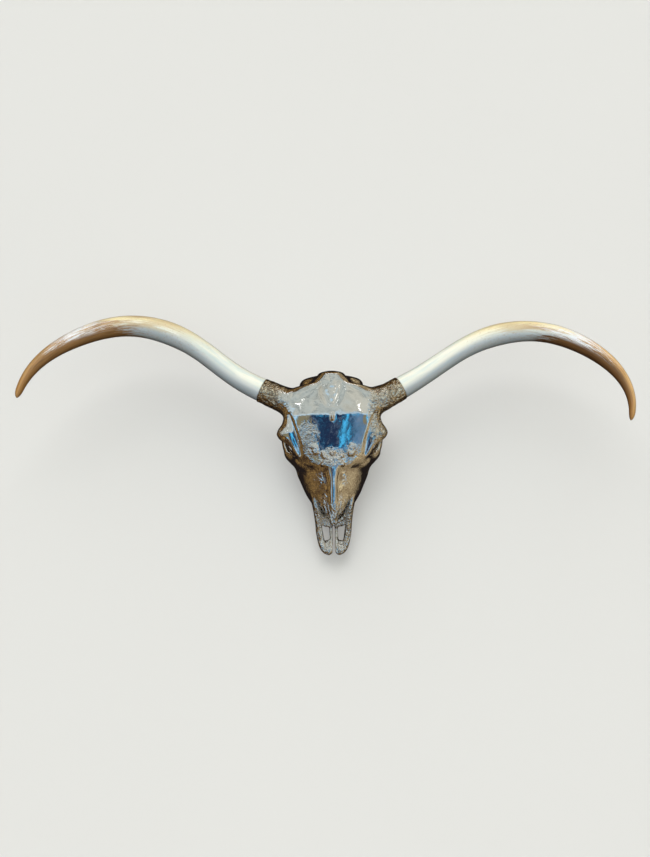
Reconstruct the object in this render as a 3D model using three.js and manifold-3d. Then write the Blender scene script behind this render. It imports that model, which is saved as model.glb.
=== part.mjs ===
// Longhorn skull lying face up: cranium with horn cores, face bones, cheek teeth and both horns.
// Millimetres. x is across the skull, y runs from the muzzle to the poll, z is up from the floor.
import * as THREE from 'three';
import { mergeVertices } from 'three/addons/utils/BufferGeometryUtils.js';
import Module from 'manifold-3d';

const wasm = await Module();
wasm.setup();

// driving dimensions
const JOINT_GAP = 0.35;
const SOCKET_ROOM = 0.45;
const FACE_CUT_AT = 243;
const FACE_CUT_LEAN = 0.42;
const ROUND_SIDES = 20;
const HORN_SIDES = 16;
const HORN_STEPS = 24;

const NASAL_TIP_AT = 61;
const NOTCH_AT = 127;
const NASAL_ROOT_AT = 216;
const ORBIT_AT = 283;
const ORBIT_HALF = 135;
const WAIST_AT = 320;
const WAIST_HALF = 120;
const BROW_TOP = 167;
const CREST_AT = 397;
const CREST_TOP = 195;
const POLL_AT = 431;
const BOSS_HALF = 45;
const BAR_HALF = 11;
const BRAIN_HALF = 80;
const PALATE = 33;
const TUBER_HALF = 86;

const TOOTH_START = 126;
const TOOTH_LENGTHS = [16, 18, 20, 24, 28, 30];
const TOOTH_HALF_WIDTHS = [8.5, 10.5, 11.5, 13, 13.5, 13];
const TOOTH_FLOORS = [5, 3, 1.5, -1, -1, -1];
const FIRST_MOLAR = 3;
const TOOTH_TOP = 44;
const LOBE_SIDES = 8;
const ROW_FRONT_X = 37;
const ROW_BACK_X = 55;

const HORNS = {
  left: {
    root: [-172, 394.6, 145.5],
    length: 720.4,
    heading: [25.7, 38.4, 16.5, -17.1, -41.8, -83.1],
    rise: [-1.8, 11.2, 19.3],
    radius: [29.4, 27.6, 27.4, 29, 26.6, 24.2, 20, 14.6, 8],
  },
  right: {
    root: [172, 394.6, 145.5],
    length: 730.7,
    heading: [29.2, 32, 7.9, -24.4, -55.5, -111.7],
    rise: [-1.4, 10, 17.5],
    radius: [28.4, 26, 25.8, 27.4, 25, 23.4, 19.4, 12.8, 6.5],
  },
};

const BONE_FINISH = { color: 0xb9bec4, roughness: 0.06, metalness: 1 };
const HORN_FINISH = { color: 0xd9cdb2, roughness: 0.28, metalness: 0 };

// values between evenly spaced knots, as a smooth curve through them
function between(knots, t) {
  const last = knots.length - 1;
  const u = Math.min(Math.max(t, 0), 1) * last;
  const i = Math.min(Math.floor(u), last - 1);
  const f = u - i;
  const at = (k) => {
    if (k < 0) return 2 * knots[0] - knots[1];
    if (k > last) return 2 * knots[last] - knots[last - 1];
    return knots[k];
  };
  const [a, b, c, d] = [at(i - 1), at(i), at(i + 1), at(i + 2)];
  const bend = 2 * a - 5 * b + 4 * c - d;
  const twist = 3 * b - a - 3 * c + d;
  return 0.5 * (2 * b + (c - a) * f + bend * f * f + twist * f * f * f);
}

function solid(geometry) {
  const plain = geometry.clone();
  plain.deleteAttribute('normal');
  plain.deleteAttribute('uv');
  const merged = mergeVertices(plain, 1e-4);
  const mesh = new wasm.Mesh({
    numProp: 3,
    vertProperties: new Float32Array(merged.attributes.position.array),
    triVerts: new Uint32Array(merged.index.array),
  });
  return new wasm.Manifold(mesh);
}

// closed skin over a list of rings with the same number of points
function skin(rings) {
  const n = rings[0].length;
  const points = rings.flat();
  const index = [];
  for (let k = 0; k + 1 < rings.length; k += 1) {
    for (let i = 0; i < n; i += 1) {
      const a = k * n + i;
      const b = k * n + ((i + 1) % n);
      index.push(a, b, b + n, a, b + n, a + n);
    }
  }
  for (const end of [0, rings.length - 1]) {
    const centre = new THREE.Vector3();
    rings[end].forEach((p) => centre.addScaledVector(p, 1 / n));
    points.push(centre);
    const c = points.length - 1;
    for (let i = 0; i < n; i += 1) {
      const a = end * n + i;
      const b = end * n + ((i + 1) % n);
      index.push(...(end === 0 ? [c, b, a] : [c, a, b]));
    }
  }
  const geometry = new THREE.BufferGeometry();
  const flat = points.flatMap((p) => [p.x, p.y, p.z]);
  geometry.setAttribute('position', new THREE.Float32BufferAttribute(flat, 3));
  geometry.setIndex(index);
  const body = solid(geometry);
  if (body.volume() > 0) return body;
  const flipped = [];
  for (let i = 0; i < index.length; i += 3) flipped.push(index[i], index[i + 2], index[i + 1]);
  geometry.setIndex(flipped);
  return solid(geometry);
}

// skin along y; a station is {at, half, mid, up, down} with optional x, and roundness of roof and floor
function loft(stations, { roof = 2.3, floor = 2.3, grow = 0, sides = ROUND_SIDES } = {}) {
  const rings = stations.map((s, k) => {
    const reach = k === 0 ? -grow : k === stations.length - 1 ? grow : 0;
    const ring = [];
    for (let i = 0; i < sides; i += 1) {
      const a = (2 * Math.PI * i) / sides;
      const c = Math.cos(a);
      const h = Math.sin(a);
      const power = 2 / (h >= 0 ? s.roof ?? roof : s.floor ?? floor);
      const wide = Math.sign(c) * Math.abs(c) ** power;
      const high = Math.sign(h) * Math.abs(h) ** power;
      const rise = h >= 0 ? s.up + grow : s.down + grow;
      ring.push(new THREE.Vector3((s.x ?? 0) + (s.half + grow) * wide, s.at + reach, s.mid + rise * high));
    }
    return ring;
  });
  return skin(rings);
}

// skin along a curve; sizes are [across, upright] half-widths at even steps
function sweep(path, sizes, { steps = 10, sides = 14, grow = 0, up = [0, 0, 1] } = {}) {
  const curve = new THREE.CatmullRomCurve3(path.map((p) => new THREE.Vector3(...p)));
  const upright = new THREE.Vector3(...up);
  const rings = [];
  for (let k = 0; k <= steps; k += 1) {
    const t = k / steps;
    const tangent = curve.getTangent(t);
    const centre = curve.getPoint(t);
    if (k === 0) centre.addScaledVector(tangent, -grow);
    if (k === steps) centre.addScaledVector(tangent, grow);
    const across = new THREE.Vector3().crossVectors(tangent, upright).normalize();
    const rise = new THREE.Vector3().crossVectors(across, tangent).normalize();
    const a = between(sizes.map((s) => s[0]), t) + grow;
    const b = between(sizes.map((s) => s[1]), t) + grow;
    const ring = [];
    for (let i = 0; i < sides; i += 1) {
      const angle = (2 * Math.PI * i) / sides;
      ring.push(centre.clone()
        .addScaledVector(across, a * Math.cos(angle))
        .addScaledVector(rise, b * Math.sin(angle)));
    }
    rings.push(ring);
  }
  return skin(rings);
}

function blob(centre, radii, turn = [0, 0, 0], sides = 12) {
  const ball = new THREE.SphereGeometry(1, sides, Math.round(sides * 0.6));
  const place = new THREE.Matrix4().compose(
    new THREE.Vector3(...centre),
    new THREE.Quaternion().setFromEuler(new THREE.Euler(...turn)),
    new THREE.Vector3(...radii),
  );
  return solid(ball.applyMatrix4(place));
}

function block(from, to) {
  const size = from.map((v, i) => to[i] - v);
  const box = new THREE.BoxGeometry(...size);
  box.translate(...from.map((v, i) => (v + to[i]) / 2));
  return solid(box);
}

const joined = (bodies) => bodies.reduce((sum, body) => sum.add(body));
const carved = (body, cutters) => cutters.reduce((left, cutter) => left.subtract(cutter), body);
const sides = [-1, 1];
const onSide = (side, path) => path.map(([x, y, z]) => [side * x, y, z]);

// frontal shield between nasal root, brow ridges and poll
function frontal() {
  return loft([
    { at: 200, half: 50, mid: 116, up: 24, down: 40 },
    { at: 214, half: 72, mid: 119, up: 26, down: 40 },
    { at: 230, half: 91, mid: 123, up: 27, down: 34 },
    { at: 245, half: 106, mid: 128, up: 27, down: 26 },
    { at: 258, half: 118, mid: 133, up: 26, down: 20 },
    { at: 270, half: 129, mid: 136, up: 27, down: 17 },
    { at: ORBIT_AT, half: ORBIT_HALF, mid: 138, up: BROW_TOP - 138, down: 16 },
    { at: 294, half: 132, mid: 139, up: 31, down: 16 },
    { at: 307, half: 124, mid: 141, up: 33, down: 17, roof: 2.3 },
    { at: WAIST_AT, half: WAIST_HALF, mid: 143, up: 36, down: 19, roof: 2.5 },
    { at: 345, half: 119, mid: 146, up: 38, down: 22, roof: 2.5 },
    { at: 368, half: 117, mid: 148, up: 40, down: 26, roof: 2.4 },
    { at: 386, half: 108, mid: 149, up: 43, down: 30 },
    { at: CREST_AT, half: 88, mid: 150, up: CREST_TOP - 150, down: 32 },
    { at: CREST_AT + 7, half: 60, mid: 152, up: CREST_TOP - 152, down: 28 },
    { at: CREST_AT + 17, half: BOSS_HALF, mid: 154, up: CREST_TOP - 154, down: 28 },
    { at: CREST_AT + 27, half: 35, mid: 155, up: CREST_TOP - 156, down: 24 },
    { at: POLL_AT, half: 26, mid: 156, up: 31, down: 20 },
    { at: POLL_AT + 3, half: 15, mid: 157, up: 20, down: 14 },
  ], { roof: 2.4, floor: 2.2 });
}

// brow process that meets the bar behind the eye
function browProcesses() {
  return joined(sides.map((side) => sweep(
    onSide(side, [[120, 285, 141], [121, 296, 130], [121, 302, 114]]),
    [[12, 10], [8, 10], [6, 9]],
    { steps: 5, sides: 10, up: [0, 1, 0] },
  )));
}

// sphenoid region and braincase under the shield, back to the nuchal face
function braincase() {
  return loft([
    { at: 205, half: 46, mid: 84, up: 50, down: 50 },
    { at: 240, half: 46, mid: 86, up: 62, down: 50 },
    { at: 270, half: 42, mid: 88, up: 60, down: 44 },
    { at: 300, half: 46, mid: 90, up: 60, down: 42 },
    { at: 330, half: 60, mid: 94, up: 64, down: 42 },
    { at: 360, half: 74, mid: 98, up: 70, down: 42 },
    { at: 390, half: BRAIN_HALF, mid: 104, up: 66, down: 44 },
    { at: 408, half: BRAIN_HALF, mid: 106, up: 52, down: 46 },
    { at: 418, half: 77, mid: 108, up: 42, down: 46 },
    { at: 426, half: 66, mid: 110, up: 34, down: 40 },
    { at: POLL_AT + 1, half: 44, mid: 112, up: 26, down: 30 },
  ], { roof: 2.4, floor: 2.4 });
}

// poll boss standing over the nuchal face
function pollBoss() {
  return joined([
    blob([0, CREST_AT + 7, CREST_TOP - 28], [34, POLL_AT - CREST_AT - 7, 29], [0, 0, 0], 16),
    blob([0, 414, 124], [70, 17, 30]),
  ]);
}

// unit direction in which a horn leaves its core
function hornDirection(horn, side) {
  const points = hornPath(horn, side);
  return points[1].sub(points[0]).normalize();
}

// space beyond the flat end of a horn core
function beyondCore(horn, side) {
  const direction = hornDirection(horn, side);
  const box = new THREE.BoxGeometry(120, 120, 120);
  box.translate(60, 0, 0);
  box.applyQuaternion(new THREE.Quaternion().setFromUnitVectors(new THREE.Vector3(1, 0, 0), direction));
  box.translate(...horn.root);
  return solid(box);
}

function hornCores() {
  return joined(sides.map((side) => {
    const horn = side < 0 ? HORNS.left : HORNS.right;
    const root = new THREE.Vector3(...horn.root);
    const out = hornDirection(horn, side);
    const stops = [-34, -17, 8].map((reach) => root.clone().addScaledVector(out, reach).toArray());
    const inner = [side * 72, horn.root[1] - 36, horn.root[2] - 4];
    const burr = horn.radius[0] + 1.6;
    const sizes = [[side < 0 ? 37 : 33, 32], [34, 32], [burr + 0.8, burr + 0.8], [burr, burr]];
    return sweep([inner, ...stops], sizes, { steps: 6, sides: HORN_SIDES }).subtract(beyondCore(horn, side));
  }));
}

// condyles, jugular processes and the ear region
function occiput() {
  const parts = sides.flatMap((side) => [
    blob([side * 27, 427, 68], [19, 17, 23], [0.3, 0, 0]),
    sweep(
      onSide(side, [[60, 412, 84], [60, 416, 50], [57, 420, 22], [55, 420, -3]]),
      [[19, 14], [14, 10], [10, 8], [7, 6]],
      { steps: 6, sides: 10, up: [0, 1, 0] },
    ),
    blob([side * 72, 388, 80], [18, 24, 22], [0, 0, 0], 10),
    blob([side * 46, 372, 56], [14, 21, 15], [0, 0, 0], 10),
    blob([side * 84, 350, 86], [27, 20, 13], [0, 0, side * 0.3]),
  ]);
  parts.push(blob([0, 398, 58], [26, 42, 15]));
  return joined(parts);
}

// paired plates behind the palate
function pterygoids() {
  return joined(sides.map((side) => loft([
    { at: 250, x: side * 30, half: 7, mid: 58, up: 30, down: 22 },
    { at: 275, x: side * 28, half: 6, mid: 58, up: 30, down: 24 },
    { at: 300, x: side * 25, half: 5, mid: 58, up: 28, down: 20 },
    { at: 322, x: side * 22, half: 4, mid: 62, up: 18, down: 12 },
  ], { sides: 10 })));
}

// maxillae, palate and the bone round the nasal passage
function faceMass() {
  return joined([
    loft([
      { at: NOTCH_AT, half: 57, mid: 60, up: 42, down: 60 - PALATE },
      { at: 143, half: 67, mid: 60, up: 54, down: 60 - PALATE },
      { at: 163, half: 76, mid: 60, up: 64, down: 60 - PALATE },
      { at: 183, half: 82, mid: 60, up: 72, down: 60 - PALATE },
      { at: 203, half: TUBER_HALF, mid: 62, up: 78, down: 62 - PALATE },
      { at: 220, half: 88, mid: 66, up: 80, down: 66 - PALATE },
      { at: 238, half: 82, mid: 70, up: 76, down: 70 - PALATE },
      { at: 254, half: 68, mid: 74, up: 66, down: 74 - PALATE },
      { at: 266, half: 46, mid: 76, up: 50, down: 76 - PALATE },
    ], { roof: 1.8, floor: 3.4 }),
    ...sides.map((side) => blob([side * 64, 222, 96], [32, 25, 32])),
    loft([
      { at: 64, half: 24, mid: 41, up: 4, down: 7 },
      { at: 78, half: 36, mid: 42, up: 7, down: 9 },
      { at: 92, half: 46, mid: 46, up: 13, down: 13 },
      { at: 108, half: 50, mid: 50, up: 22, down: 17 },
      { at: 128, half: 56, mid: 54, up: 28, down: 21 },
      { at: 146, half: 62, mid: 56, up: 30, down: 23 },
    ], { roof: 3, floor: 3 }),
  ]);
}

function rowX(at) {
  const t = (at - TOOTH_START) / TOOTH_LENGTHS.reduce((a, b) => a + b);
  return ROW_FRONT_X + (ROW_BACK_X - ROW_FRONT_X) * Math.sin((Math.PI / 2) * Math.min(Math.max(t, 0), 1));
}

function toothRidge(side) {
  const path = [112, 150, 190, 230, 268].map((at) => [side * rowX(at), at, TOOTH_TOP - 2]);
  const sizes = [[9, 12], [14, 19], [17, 22], [17, 22], [11, 18]];
  return sweep(path, sizes, { steps: 6, sides: 10 });
}

function lobe(side, at, length, half, floor) {
  const rings = [floor, TOOTH_TOP].map((z, k) => {
    const grow = k === 0 ? 0.9 : 1.02;
    const ring = [];
    for (let i = 0; i < LOBE_SIDES; i += 1) {
      const a = (2 * Math.PI * (i + 0.5)) / LOBE_SIDES;
      const out = Math.abs(Math.cos(a)) ** 0.7 * Math.sign(Math.cos(a));
      ring.push(new THREE.Vector3(
        side * rowX(at) + half * grow * out,
        at + (length / 2) * grow * Math.sin(a) * 1.12,
        z,
      ));
    }
    return ring;
  });
  return skin(rings);
}

function cheekTeeth(side) {
  const lobes = [];
  let at = TOOTH_START;
  TOOTH_LENGTHS.forEach((length, k) => {
    const parts = k < FIRST_MOLAR ? 1 : 2;
    for (let j = 0; j < parts; j += 1) {
      const middle = at + (length * (j + 0.5)) / parts;
      lobes.push(lobe(side, middle, length / parts, TOOTH_HALF_WIDTHS[k], TOOTH_FLOORS[k]));
    }
    at += length;
  });
  return joined(lobes);
}

// tent of both nasal bones with the narrow rounded bar along its ridge
function nasalBeam(grow = 0) {
  const tent = loft([
    { at: NASAL_TIP_AT, half: 4, mid: 88, up: 5, down: 2.5, roof: 2 },
    { at: 67, half: 8.5, mid: 88, up: 8, down: 3.5, roof: 2 },
    { at: 76, half: 11.5, mid: 89, up: 9.5, down: 4, roof: 2 },
    { at: 88, half: 15, mid: 90, up: 12, down: 4.5, roof: 2 },
    { at: 97, half: 23, mid: 90, up: 14, down: 4.5 },
    { at: 110, half: 32, mid: 90, up: 18, down: 4.5 },
    { at: NOTCH_AT, half: 40, mid: 91, up: 22.5, down: 5 },
    { at: 150, half: 36, mid: 100, up: 21.5, down: 5 },
    { at: 175, half: 31, mid: 112, up: 20, down: 5 },
    { at: 200, half: 28, mid: 124, up: 19, down: 5, roof: 1.7 },
    { at: NASAL_ROOT_AT, half: 24, mid: 132, up: 17, down: 5, roof: 2 },
    { at: NASAL_ROOT_AT + 9, half: 11, mid: 137, up: 14, down: 5, roof: 2 },
  ], { roof: 1.5, floor: 3, grow, sides: 20 });
  const bar = loft([
    { at: 74, half: 9.5, mid: 89, up: 10.5, down: 3 },
    { at: 97, half: BAR_HALF, mid: 96, up: 10.5, down: 6 },
    { at: NOTCH_AT, half: BAR_HALF, mid: 106, up: 12, down: 8 },
    { at: 150, half: BAR_HALF, mid: 114, up: 12, down: 8 },
    { at: 166, half: 11.5, mid: 120, up: 12.5, down: 8 },
    { at: 180, half: 13.5, mid: 126, up: 12.5, down: 8 },
    { at: 193, half: 17, mid: 131, up: 12.5, down: 8 },
    { at: 205, half: 23, mid: 135, up: 13, down: 8 },
    { at: NASAL_ROOT_AT, half: 27, mid: 138, up: 13, down: 8 },
    { at: NASAL_ROOT_AT + 8, half: 22, mid: 140, up: 12, down: 8 },
  ], { roof: 2.6, floor: 2.4, grow, sides: 16 });
  return tent.add(bar);
}

// passage open at the front under the nasal bones, blind behind
function nasalPassage() {
  return loft([
    { at: 56, half: 4, mid: 66, up: 8, down: 8 },
    { at: 90, half: 26, mid: 66, up: 22, down: 23 },
    { at: 110, half: 33, mid: 67, up: 27, down: 25 },
    { at: NOTCH_AT, half: 37, mid: 70, up: 30, down: 27 },
    { at: 150, half: 38, mid: 74, up: 34, down: 28 },
    { at: 175, half: 32, mid: 80, up: 32, down: 28 },
    { at: 192, half: 18, mid: 86, up: 20, down: 18 },
  ], { roof: 2.2, floor: 2.6, sides: 20 });
}

// one cheekbone: under-eye rim, arch to the temple and bar behind the eye
function cheekbone(side, grow = 0) {
  const arch = sweep(
    onSide(side, [
      [84, 214, 72], [98, 229, 76], [108, 243, 78], [118, 268, 80],
      [120, 290, 82], [115, 312, 86], [102, 336, 90],
    ]),
    [[9, 17], [11, 18], [9, 12], [7.5, 10], [7, 9], [6.5, 9], [6, 7]],
    { steps: 11, sides: 12, grow },
  );
  const rim = sweep(
    onSide(side, [[108, 243, 78], [99, 231, 94], [86, 225, 112]]),
    [[10, 11], [8, 10], [7, 9]],
    { steps: 4, sides: 10, grow, up: [0, 1, 0] },
  );
  const bar = sweep(
    onSide(side, [[119, 294, 82], [121, 301, 100], [121, 302, 118]]),
    [[6.5, 12], [6, 9.5], [7, 10]],
    { steps: 4, sides: 10, grow, up: [0, 1, 0] },
  );
  return joined([arch, rim, bar]);
}

// eye sockets and temporal hollows
function sideHollows() {
  return sides.flatMap((side) => [
    blob([side * 106, 263, 107], [62, 34, 32], [0, side * -0.12, side * -0.22], 16),
    blob([side * 114, 342, 110], [44, 36, 26], [0, side * 0.1, side * -0.35], 14),
  ]);
}

function spinalOpening() {
  return sweep([[0, 460, 74], [0, 434, 84], [0, 412, 92]], [[19, 16], [18, 17], [12, 12]], { steps: 5 });
}

// one premaxilla: front plate, outer branch on the maxilla and palate branch, with a gap between
function premaxilla(side, grow = 0) {
  const radii = [17, 19, 6.5].map((radius) => radius + grow);
  const plate = blob([side * 15, 12, 34.5], radii, [0.08, side * 0.12, side * -0.2]);
  const outer = sweep(
    onSide(side, [
      [12, 0, 33.5], [25.5, 10, 35.5], [32.5, 33, 39], [36, 54, 45],
      [38, 78, 53], [41, 104, 63], [49, 138, 79],
    ]),
    [[7, 5.5], [8.5, 7], [9, 9], [8.5, 11], [9, 13], [9, 15], [7, 10]],
    { steps: 10, sides: 10, grow },
  );
  const inner = sweep(
    onSide(side, [[8, 8, 34.5], [7, 42, 36], [6.5, 76, 38], [6.5, 106, 41]]),
    [[5, 5], [4.5, 4.5], [4.2, 4.5], [4, 4.5]],
    { steps: 6, sides: 8, grow },
  );
  return joined([plate, outer, inner]).intersect(half(side, 2.6 - grow));
}

// everything on one side of the midline, from a given distance out
function half(side, out = JOINT_GAP / 2) {
  const far = 1000;
  return side < 0 ? block([-far, -far, -far], [-out, far, far]) : block([out, -far, -far], [far, far, far]);
}

// space in front of the plane between face and cranium, which leans back from roof to palate
function ahead(gap) {
  const box = new THREE.BoxGeometry(600, 900, 900);
  box.translate(0, -450, 0);
  box.rotateX(FACE_CUT_LEAN);
  box.translate(0, FACE_CUT_AT - gap, 90);
  return solid(box);
}

function largest(body) {
  return body.decompose().reduce((best, piece) => (piece.volume() > best.volume() ? piece : best));
}

function skullBones() {
  const beam = nasalBeam();
  const beamRoom = nasalBeam(SOCKET_ROOM);
  const passage = nasalPassage();
  const cheekRoom = sides.map((side) => cheekbone(side, SOCKET_ROOM));
  const hollows = [...sideHollows(), spinalOpening(), passage];
  const mass = carved(
    joined([frontal(), browProcesses(), braincase(), pollBoss(), occiput(), pterygoids(), faceMass(),
      ...sides.map(toothRidge)]),
    hollows,
  ).add(hornCores());
  const underFloor = block([-300, -100, -50], [300, 700, 0]);
  const whole = carved(joined([mass, ...sides.map(cheekTeeth)]), [beamRoom, ...cheekRoom, underFloor]);
  const upper = carved(whole, [ahead(0)]);
  const face = whole.intersect(ahead(JOINT_GAP));
  const bones = { cranium: upper };
  for (const side of sides) {
    const name = side < 0 ? 'left' : 'right';
    bones[`maxilla_${name}`] = carved(face, [premaxilla(side, SOCKET_ROOM)]).intersect(half(side));
    bones[`premaxilla_${name}`] = carved(premaxilla(side), [beamRoom]);
    bones[`nasal_${name}`] = beam.subtract(passage).intersect(half(side));
    bones[`zygomatic_${name}`] = cheekbone(side);
  }
  return bones;
}

function hornPath(horn, side) {
  const points = [new THREE.Vector3(...horn.root)];
  const fine = 8;
  const step = horn.length / (HORN_STEPS * fine);
  const at = points[0].clone();
  for (let k = 0; k < HORN_STEPS * fine; k += 1) {
    const t = (k + 0.5) / (HORN_STEPS * fine);
    const turn = THREE.MathUtils.degToRad(between(horn.heading, t));
    const lift = THREE.MathUtils.degToRad(between(horn.rise, t));
    at.x += side * Math.cos(turn) * Math.cos(lift) * step;
    at.y += Math.sin(turn) * Math.cos(lift) * step;
    at.z += Math.sin(lift) * step;
    if ((k + 1) % fine === 0) points.push(at.clone());
  }
  return points;
}

// tapering horn with a rounded tip, from the end of its core
function hornSheath(horn, side) {
  const points = hornPath(horn, side);
  const upright = new THREE.Vector3(0, 0, 1);
  const rings = points.map((point, k) => {
    const t = k / HORN_STEPS;
    const next = points[Math.min(k + 1, HORN_STEPS)];
    const before = points[Math.max(k - 1, 0)];
    const tangent = next.clone().sub(before).normalize();
    const across = new THREE.Vector3().crossVectors(tangent, upright).normalize();
    const rise = new THREE.Vector3().crossVectors(across, tangent).normalize();
    const radius = between(horn.radius, t) * (t > 0.985 ? 0.55 : 1);
    const centre = point.clone();
    if (k === 0) centre.addScaledVector(tangent, JOINT_GAP);
    const ring = [];
    for (let i = 0; i < HORN_SIDES; i += 1) {
      const a = (2 * Math.PI * i) / HORN_SIDES;
      ring.push(centre.clone()
        .addScaledVector(across, radius * Math.cos(a))
        .addScaledVector(rise, radius * Math.sin(a)));
    }
    return ring;
  });
  return skin(rings);
}

function meshOf(name, body, finish) {
  const { numProp, vertProperties, triVerts } = body.getMesh();
  const points = [];
  for (let i = 0; i < vertProperties.length; i += numProp) {
    points.push(vertProperties[i], vertProperties[i + 1], vertProperties[i + 2]);
  }
  const geometry = new THREE.BufferGeometry();
  geometry.setAttribute('position', new THREE.Float32BufferAttribute(points, 3));
  geometry.setIndex([...triVerts]);
  geometry.computeVertexNormals();
  const mesh = new THREE.Mesh(geometry, new THREE.MeshStandardMaterial(finish));
  mesh.name = name;
  return mesh;
}

function buildSkull() {
  const group = new THREE.Group();
  group.name = 'longhorn_skull';
  for (const [name, body] of Object.entries(skullBones())) {
    group.add(meshOf(name, largest(body), BONE_FINISH));
  }
  group.add(meshOf('horn_left', hornSheath(HORNS.left, -1), HORN_FINISH));
  group.add(meshOf('horn_right', hornSheath(HORNS.right, 1), HORN_FINISH));
  const bounds = new THREE.Box3().setFromObject(group);
  const centre = bounds.getCenter(new THREE.Vector3());
  group.children.forEach((mesh) => mesh.geometry.translate(-centre.x, -centre.y, -bounds.min.z));
  return group;
}

export default buildSkull();
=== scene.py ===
import math
import random

import bpy
import numpy as np
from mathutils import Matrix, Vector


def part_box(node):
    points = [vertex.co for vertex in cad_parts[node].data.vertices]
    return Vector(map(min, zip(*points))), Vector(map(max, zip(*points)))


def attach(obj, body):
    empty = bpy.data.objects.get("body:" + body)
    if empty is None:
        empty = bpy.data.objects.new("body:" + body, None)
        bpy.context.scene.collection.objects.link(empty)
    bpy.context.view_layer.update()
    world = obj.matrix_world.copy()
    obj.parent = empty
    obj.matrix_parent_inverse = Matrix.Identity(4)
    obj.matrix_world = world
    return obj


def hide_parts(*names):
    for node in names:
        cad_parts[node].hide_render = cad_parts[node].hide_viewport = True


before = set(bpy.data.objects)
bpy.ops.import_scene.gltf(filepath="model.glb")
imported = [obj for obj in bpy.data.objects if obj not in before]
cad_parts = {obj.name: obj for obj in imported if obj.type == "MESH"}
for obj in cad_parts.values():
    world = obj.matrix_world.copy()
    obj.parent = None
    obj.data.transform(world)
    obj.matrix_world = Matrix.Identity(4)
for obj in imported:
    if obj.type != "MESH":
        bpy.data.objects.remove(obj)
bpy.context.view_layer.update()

import openvdb
from mathutils import Matrix, Vector

# the skull's own measures are millimetres from its muzzle tip, on its midline
nasalLow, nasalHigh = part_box("nasal_left")
otherLow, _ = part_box("nasal_right")
midX = (nasalHigh[0] + otherLow[0]) / 2
frontY = nasalLow[1] - 0.061    # the nasal bones start 61 mm behind the tip
sides = {"left": -1, "right": 1}


def toFrame(points):
    points = np.asarray(points, dtype=float)
    return points / 1000 + np.array([midX, frontY, 0.0])


def link(obj):
    bpy.context.scene.collection.objects.link(obj)
    return obj


def makeMesh(name, points, faces):
    mesh = bpy.data.meshes.new(name)
    mesh.from_pydata(points, [], faces)
    mesh.update()
    return mesh


# camera
cameraPlan = {
    "tilt": 10.0,       # degrees from straight down, towards the muzzle
    "roll": -0.93,      # the skull hangs a little askew
    "reach": 2600.0,    # to the plane of the face
    "plane": 90.0,      # height of that plane along the view
    "acrossAt": -17.5,  # the point in the middle of the picture
    "alongAt": 316.5,
    "frameWidth": 1592.5,
    "sensor": 36.0,
}


def makeCamera(plan):
    tilt = math.radians(plan["tilt"])
    data = bpy.data.cameras.new("viewCamera")
    data.sensor_fit = "HORIZONTAL"
    data.sensor_width = plan["sensor"]
    data.lens = plan["sensor"] * plan["reach"] / plan["frameWidth"]
    data.clip_end = 50.0
    cam = link(bpy.data.objects.new("viewCamera", data))
    high = plan["plane"] + plan["reach"]
    y = plan["alongAt"] * math.cos(tilt) - high * math.sin(tilt)
    z = plan["alongAt"] * math.sin(tilt) + high * math.cos(tilt)
    cam.location = Vector(toFrame([plan["acrossAt"], y, z]))
    turned = Matrix.Rotation(tilt, 3, "X") @ Matrix.Rotation(math.radians(plan["roll"]), 3, "Z")
    cam.rotation_euler = turned.to_euler()
    bpy.context.scene.camera = cam


makeCamera(cameraPlan)
print("camera placed")


# distance fields: below zero is bone, and farReach is as far as they are kept
farReach = 60.0


def hermite(at, knots, values):
    # smooth curve through uneven knots
    knots = np.asarray(knots, float)
    values = np.asarray(values, float)
    slope = np.gradient(values, knots)
    k = np.clip(np.searchsorted(knots, at) - 1, 0, len(knots) - 2)
    wide = knots[k + 1] - knots[k]
    t = np.clip((at - knots[k]) / wide, 0, 1)
    t2, t3 = t * t, t * t * t
    return ((2 * t3 - 3 * t2 + 1) * values[k] + (t3 - 2 * t2 + t) * wide * slope[k]
            + (3 * t2 - 2 * t3) * values[k + 1] + (t3 - t2) * wide * slope[k + 1])


def softMin(a, b, blend):
    if blend <= 0:
        return np.minimum(a, b)
    h = np.maximum(blend - np.abs(a - b), 0) / blend
    return np.minimum(a, b) - h * h * blend / 4


def softMax(a, b, blend):
    return -softMin(-a, -b, blend)


class Field:
    def __init__(self, low, high, step):
        self.low = np.array(low, float)
        self.step = step
        self.count = np.ceil((np.array(high) - self.low) / step).astype(int) + 1
        self.axes = [self.low[i] + step * np.arange(self.count[i]) for i in range(3)]
        self.d = np.full(self.count, farReach, np.float32)

    def block(self, low, high, margin=14.0):
        cut = []
        for i in range(3):
            a = int(max((low[i] - margin - self.low[i]) // self.step, 0))
            b = int(min((high[i] + margin - self.low[i]) // self.step + 2, self.count[i]))
            cut.append(slice(a, max(b, a + 2)))
        grid = [self.axes[i][cut[i]].astype(np.float32) for i in range(3)]
        return tuple(cut), grid[0][:, None, None], grid[1][None, :, None], grid[2][None, None, :]

    def join(self, shape, blend=6.0):
        cut, x, y, z = self.block(*shape["box"])
        self.d[cut] = softMin(self.d[cut], shape["far"](x, y, z), blend)

    def cut(self, shape, blend=4.0):
        cut, x, y, z = self.block(*shape["box"])
        self.d[cut] = softMax(self.d[cut], -shape["far"](x, y, z), blend)

    def sample(self, shape):
        # the shape's own distances on the whole grid
        other = np.full(self.count, farReach, np.float32)
        cut, x, y, z = self.block(*shape["box"])
        other[cut] = shape["far"](x, y, z)
        return other


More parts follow.
